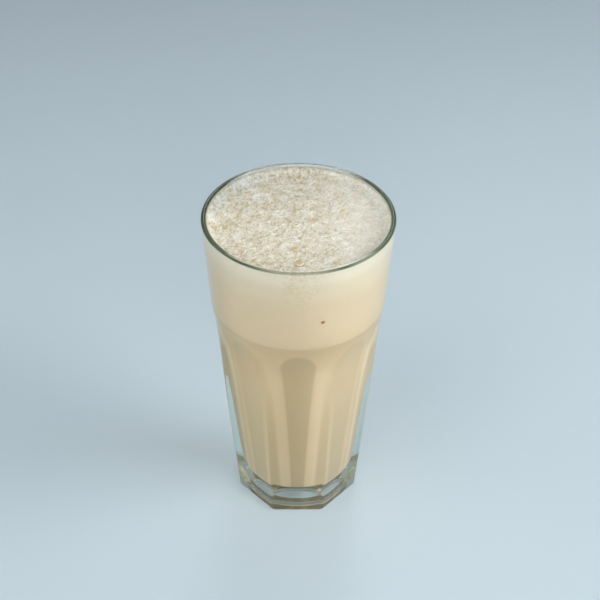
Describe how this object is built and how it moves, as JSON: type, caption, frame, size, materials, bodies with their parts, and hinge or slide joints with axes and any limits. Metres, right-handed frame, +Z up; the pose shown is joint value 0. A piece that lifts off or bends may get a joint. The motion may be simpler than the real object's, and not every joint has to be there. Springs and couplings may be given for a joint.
{
  "type": "iced coffee",
  "caption": "Milky iced coffee with a deep head of froth, filling a tall pressed tumbler with flat arched panels below a smooth round rim band.",
  "frame": {"origin": "middle of the foot, on the surface that the glass stands on", "axes": "+Z up along the glass's axis; a flat panel faces -Y, towards the viewer, and another faces +X"},
  "size_m": [0.0838, 0.0838, 0.1618],
  "materials": {
    "clear_glass": "clear, smooth, faintly green where it is thick",
    "milk_coffee": "opaque milky beige liquid, smooth",
    "froth": "fine matt froth with small bubbles"
  },
  "bodies": {
    "root": {"glass": "clear_glass", "coffee": "milk_coffee", "froth": "froth"}
  },
  "joints": []
}
